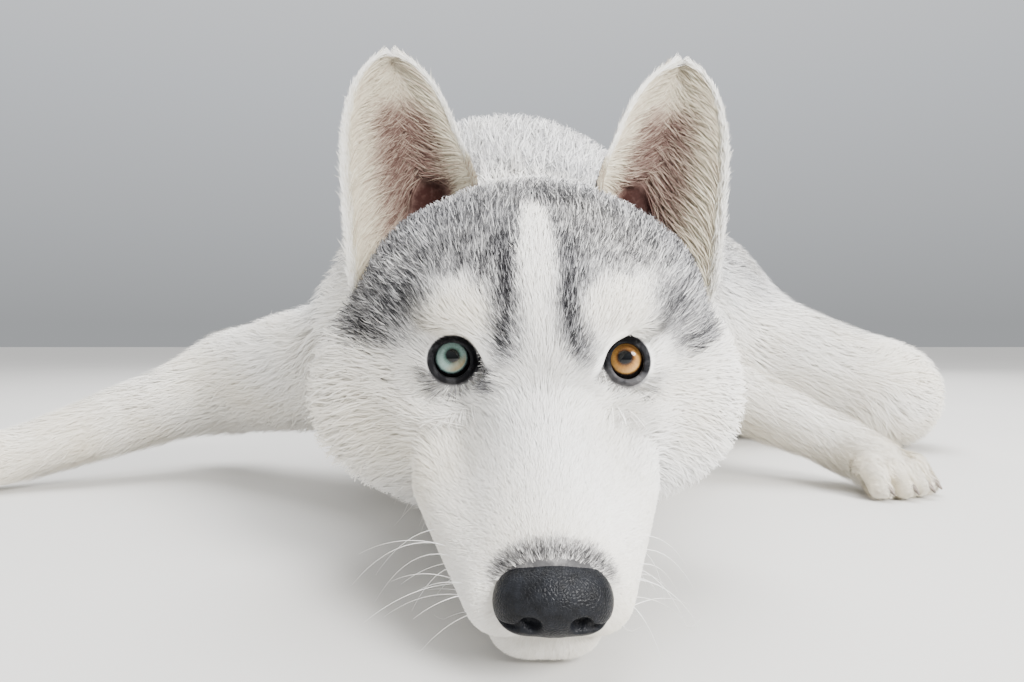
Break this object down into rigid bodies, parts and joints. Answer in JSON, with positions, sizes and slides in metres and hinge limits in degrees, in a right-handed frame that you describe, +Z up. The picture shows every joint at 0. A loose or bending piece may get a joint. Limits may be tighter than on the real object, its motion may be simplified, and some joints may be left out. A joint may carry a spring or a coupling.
{
  "type": "siberian husky model",
  "caption": "Life-size still model of a Siberian husky lying flat with its chin on the floor, ears up, one foreleg out to each side.",
  "frame": {"origin": "middle of the model's box, on the floor it lies on", "axes": "+Z up from the floor; the nose points along -Y and the tail lies towards +Y; +X is the dog's left side"},
  "size_m": [0.9656, 1.1552, 0.2884],
  "materials": {
    "coat_grey": "silver-grey and white fur",
    "coat_white": "white fur with a cream shade",
    "ear": "short cream fur",
    "nose_pad": "dark, moist, pebbled pad",
    "eye_blue": "polished, pale blue iris",
    "eye_amber": "polished, amber iris",
    "claw": "dark horn, lightly polished"
  },
  "bodies": {
    "root": {"chest": "coat_white", "claw_fore_left_1": "claw", "claw_fore_left_2": "claw", "claw_fore_left_3": "claw", "claw_fore_left_4": "claw", "claw_fore_right_1": "claw", "claw_fore_right_2": "claw", "claw_fore_right_3": "claw", "claw_fore_right_4": "claw", "claw_hind_left_1": "claw", "claw_hind_left_2": "claw", "claw_hind_left_3": "claw", "claw_hind_left_4": "claw", "claw_hind_right_1": "claw", "claw_hind_right_2": "claw", "claw_hind_right_3": "claw", "claw_hind_right_4": "claw", "ear_left": "ear", "ear_right": "ear", "eye_left": "eye_amber", "eye_right": "eye_blue", "forearm_left": "coat_white", "forearm_right": "coat_white", "forepaw_left": "coat_white", "forepaw_right": "coat_white", "head": "coat_grey", "hind_foot_left": "coat_white", "hind_foot_right": "coat_white", "loin": "coat_white", "lower_jaw": "coat_white", "neck": "coat_white", "nose": "nose_pad", "tail": "coat_white", "thigh_left": "coat_white", "thigh_right": "coat_white", "upper_arm_left": "coat_white", "upper_arm_right": "coat_white"}
  },
  "joints": []
}
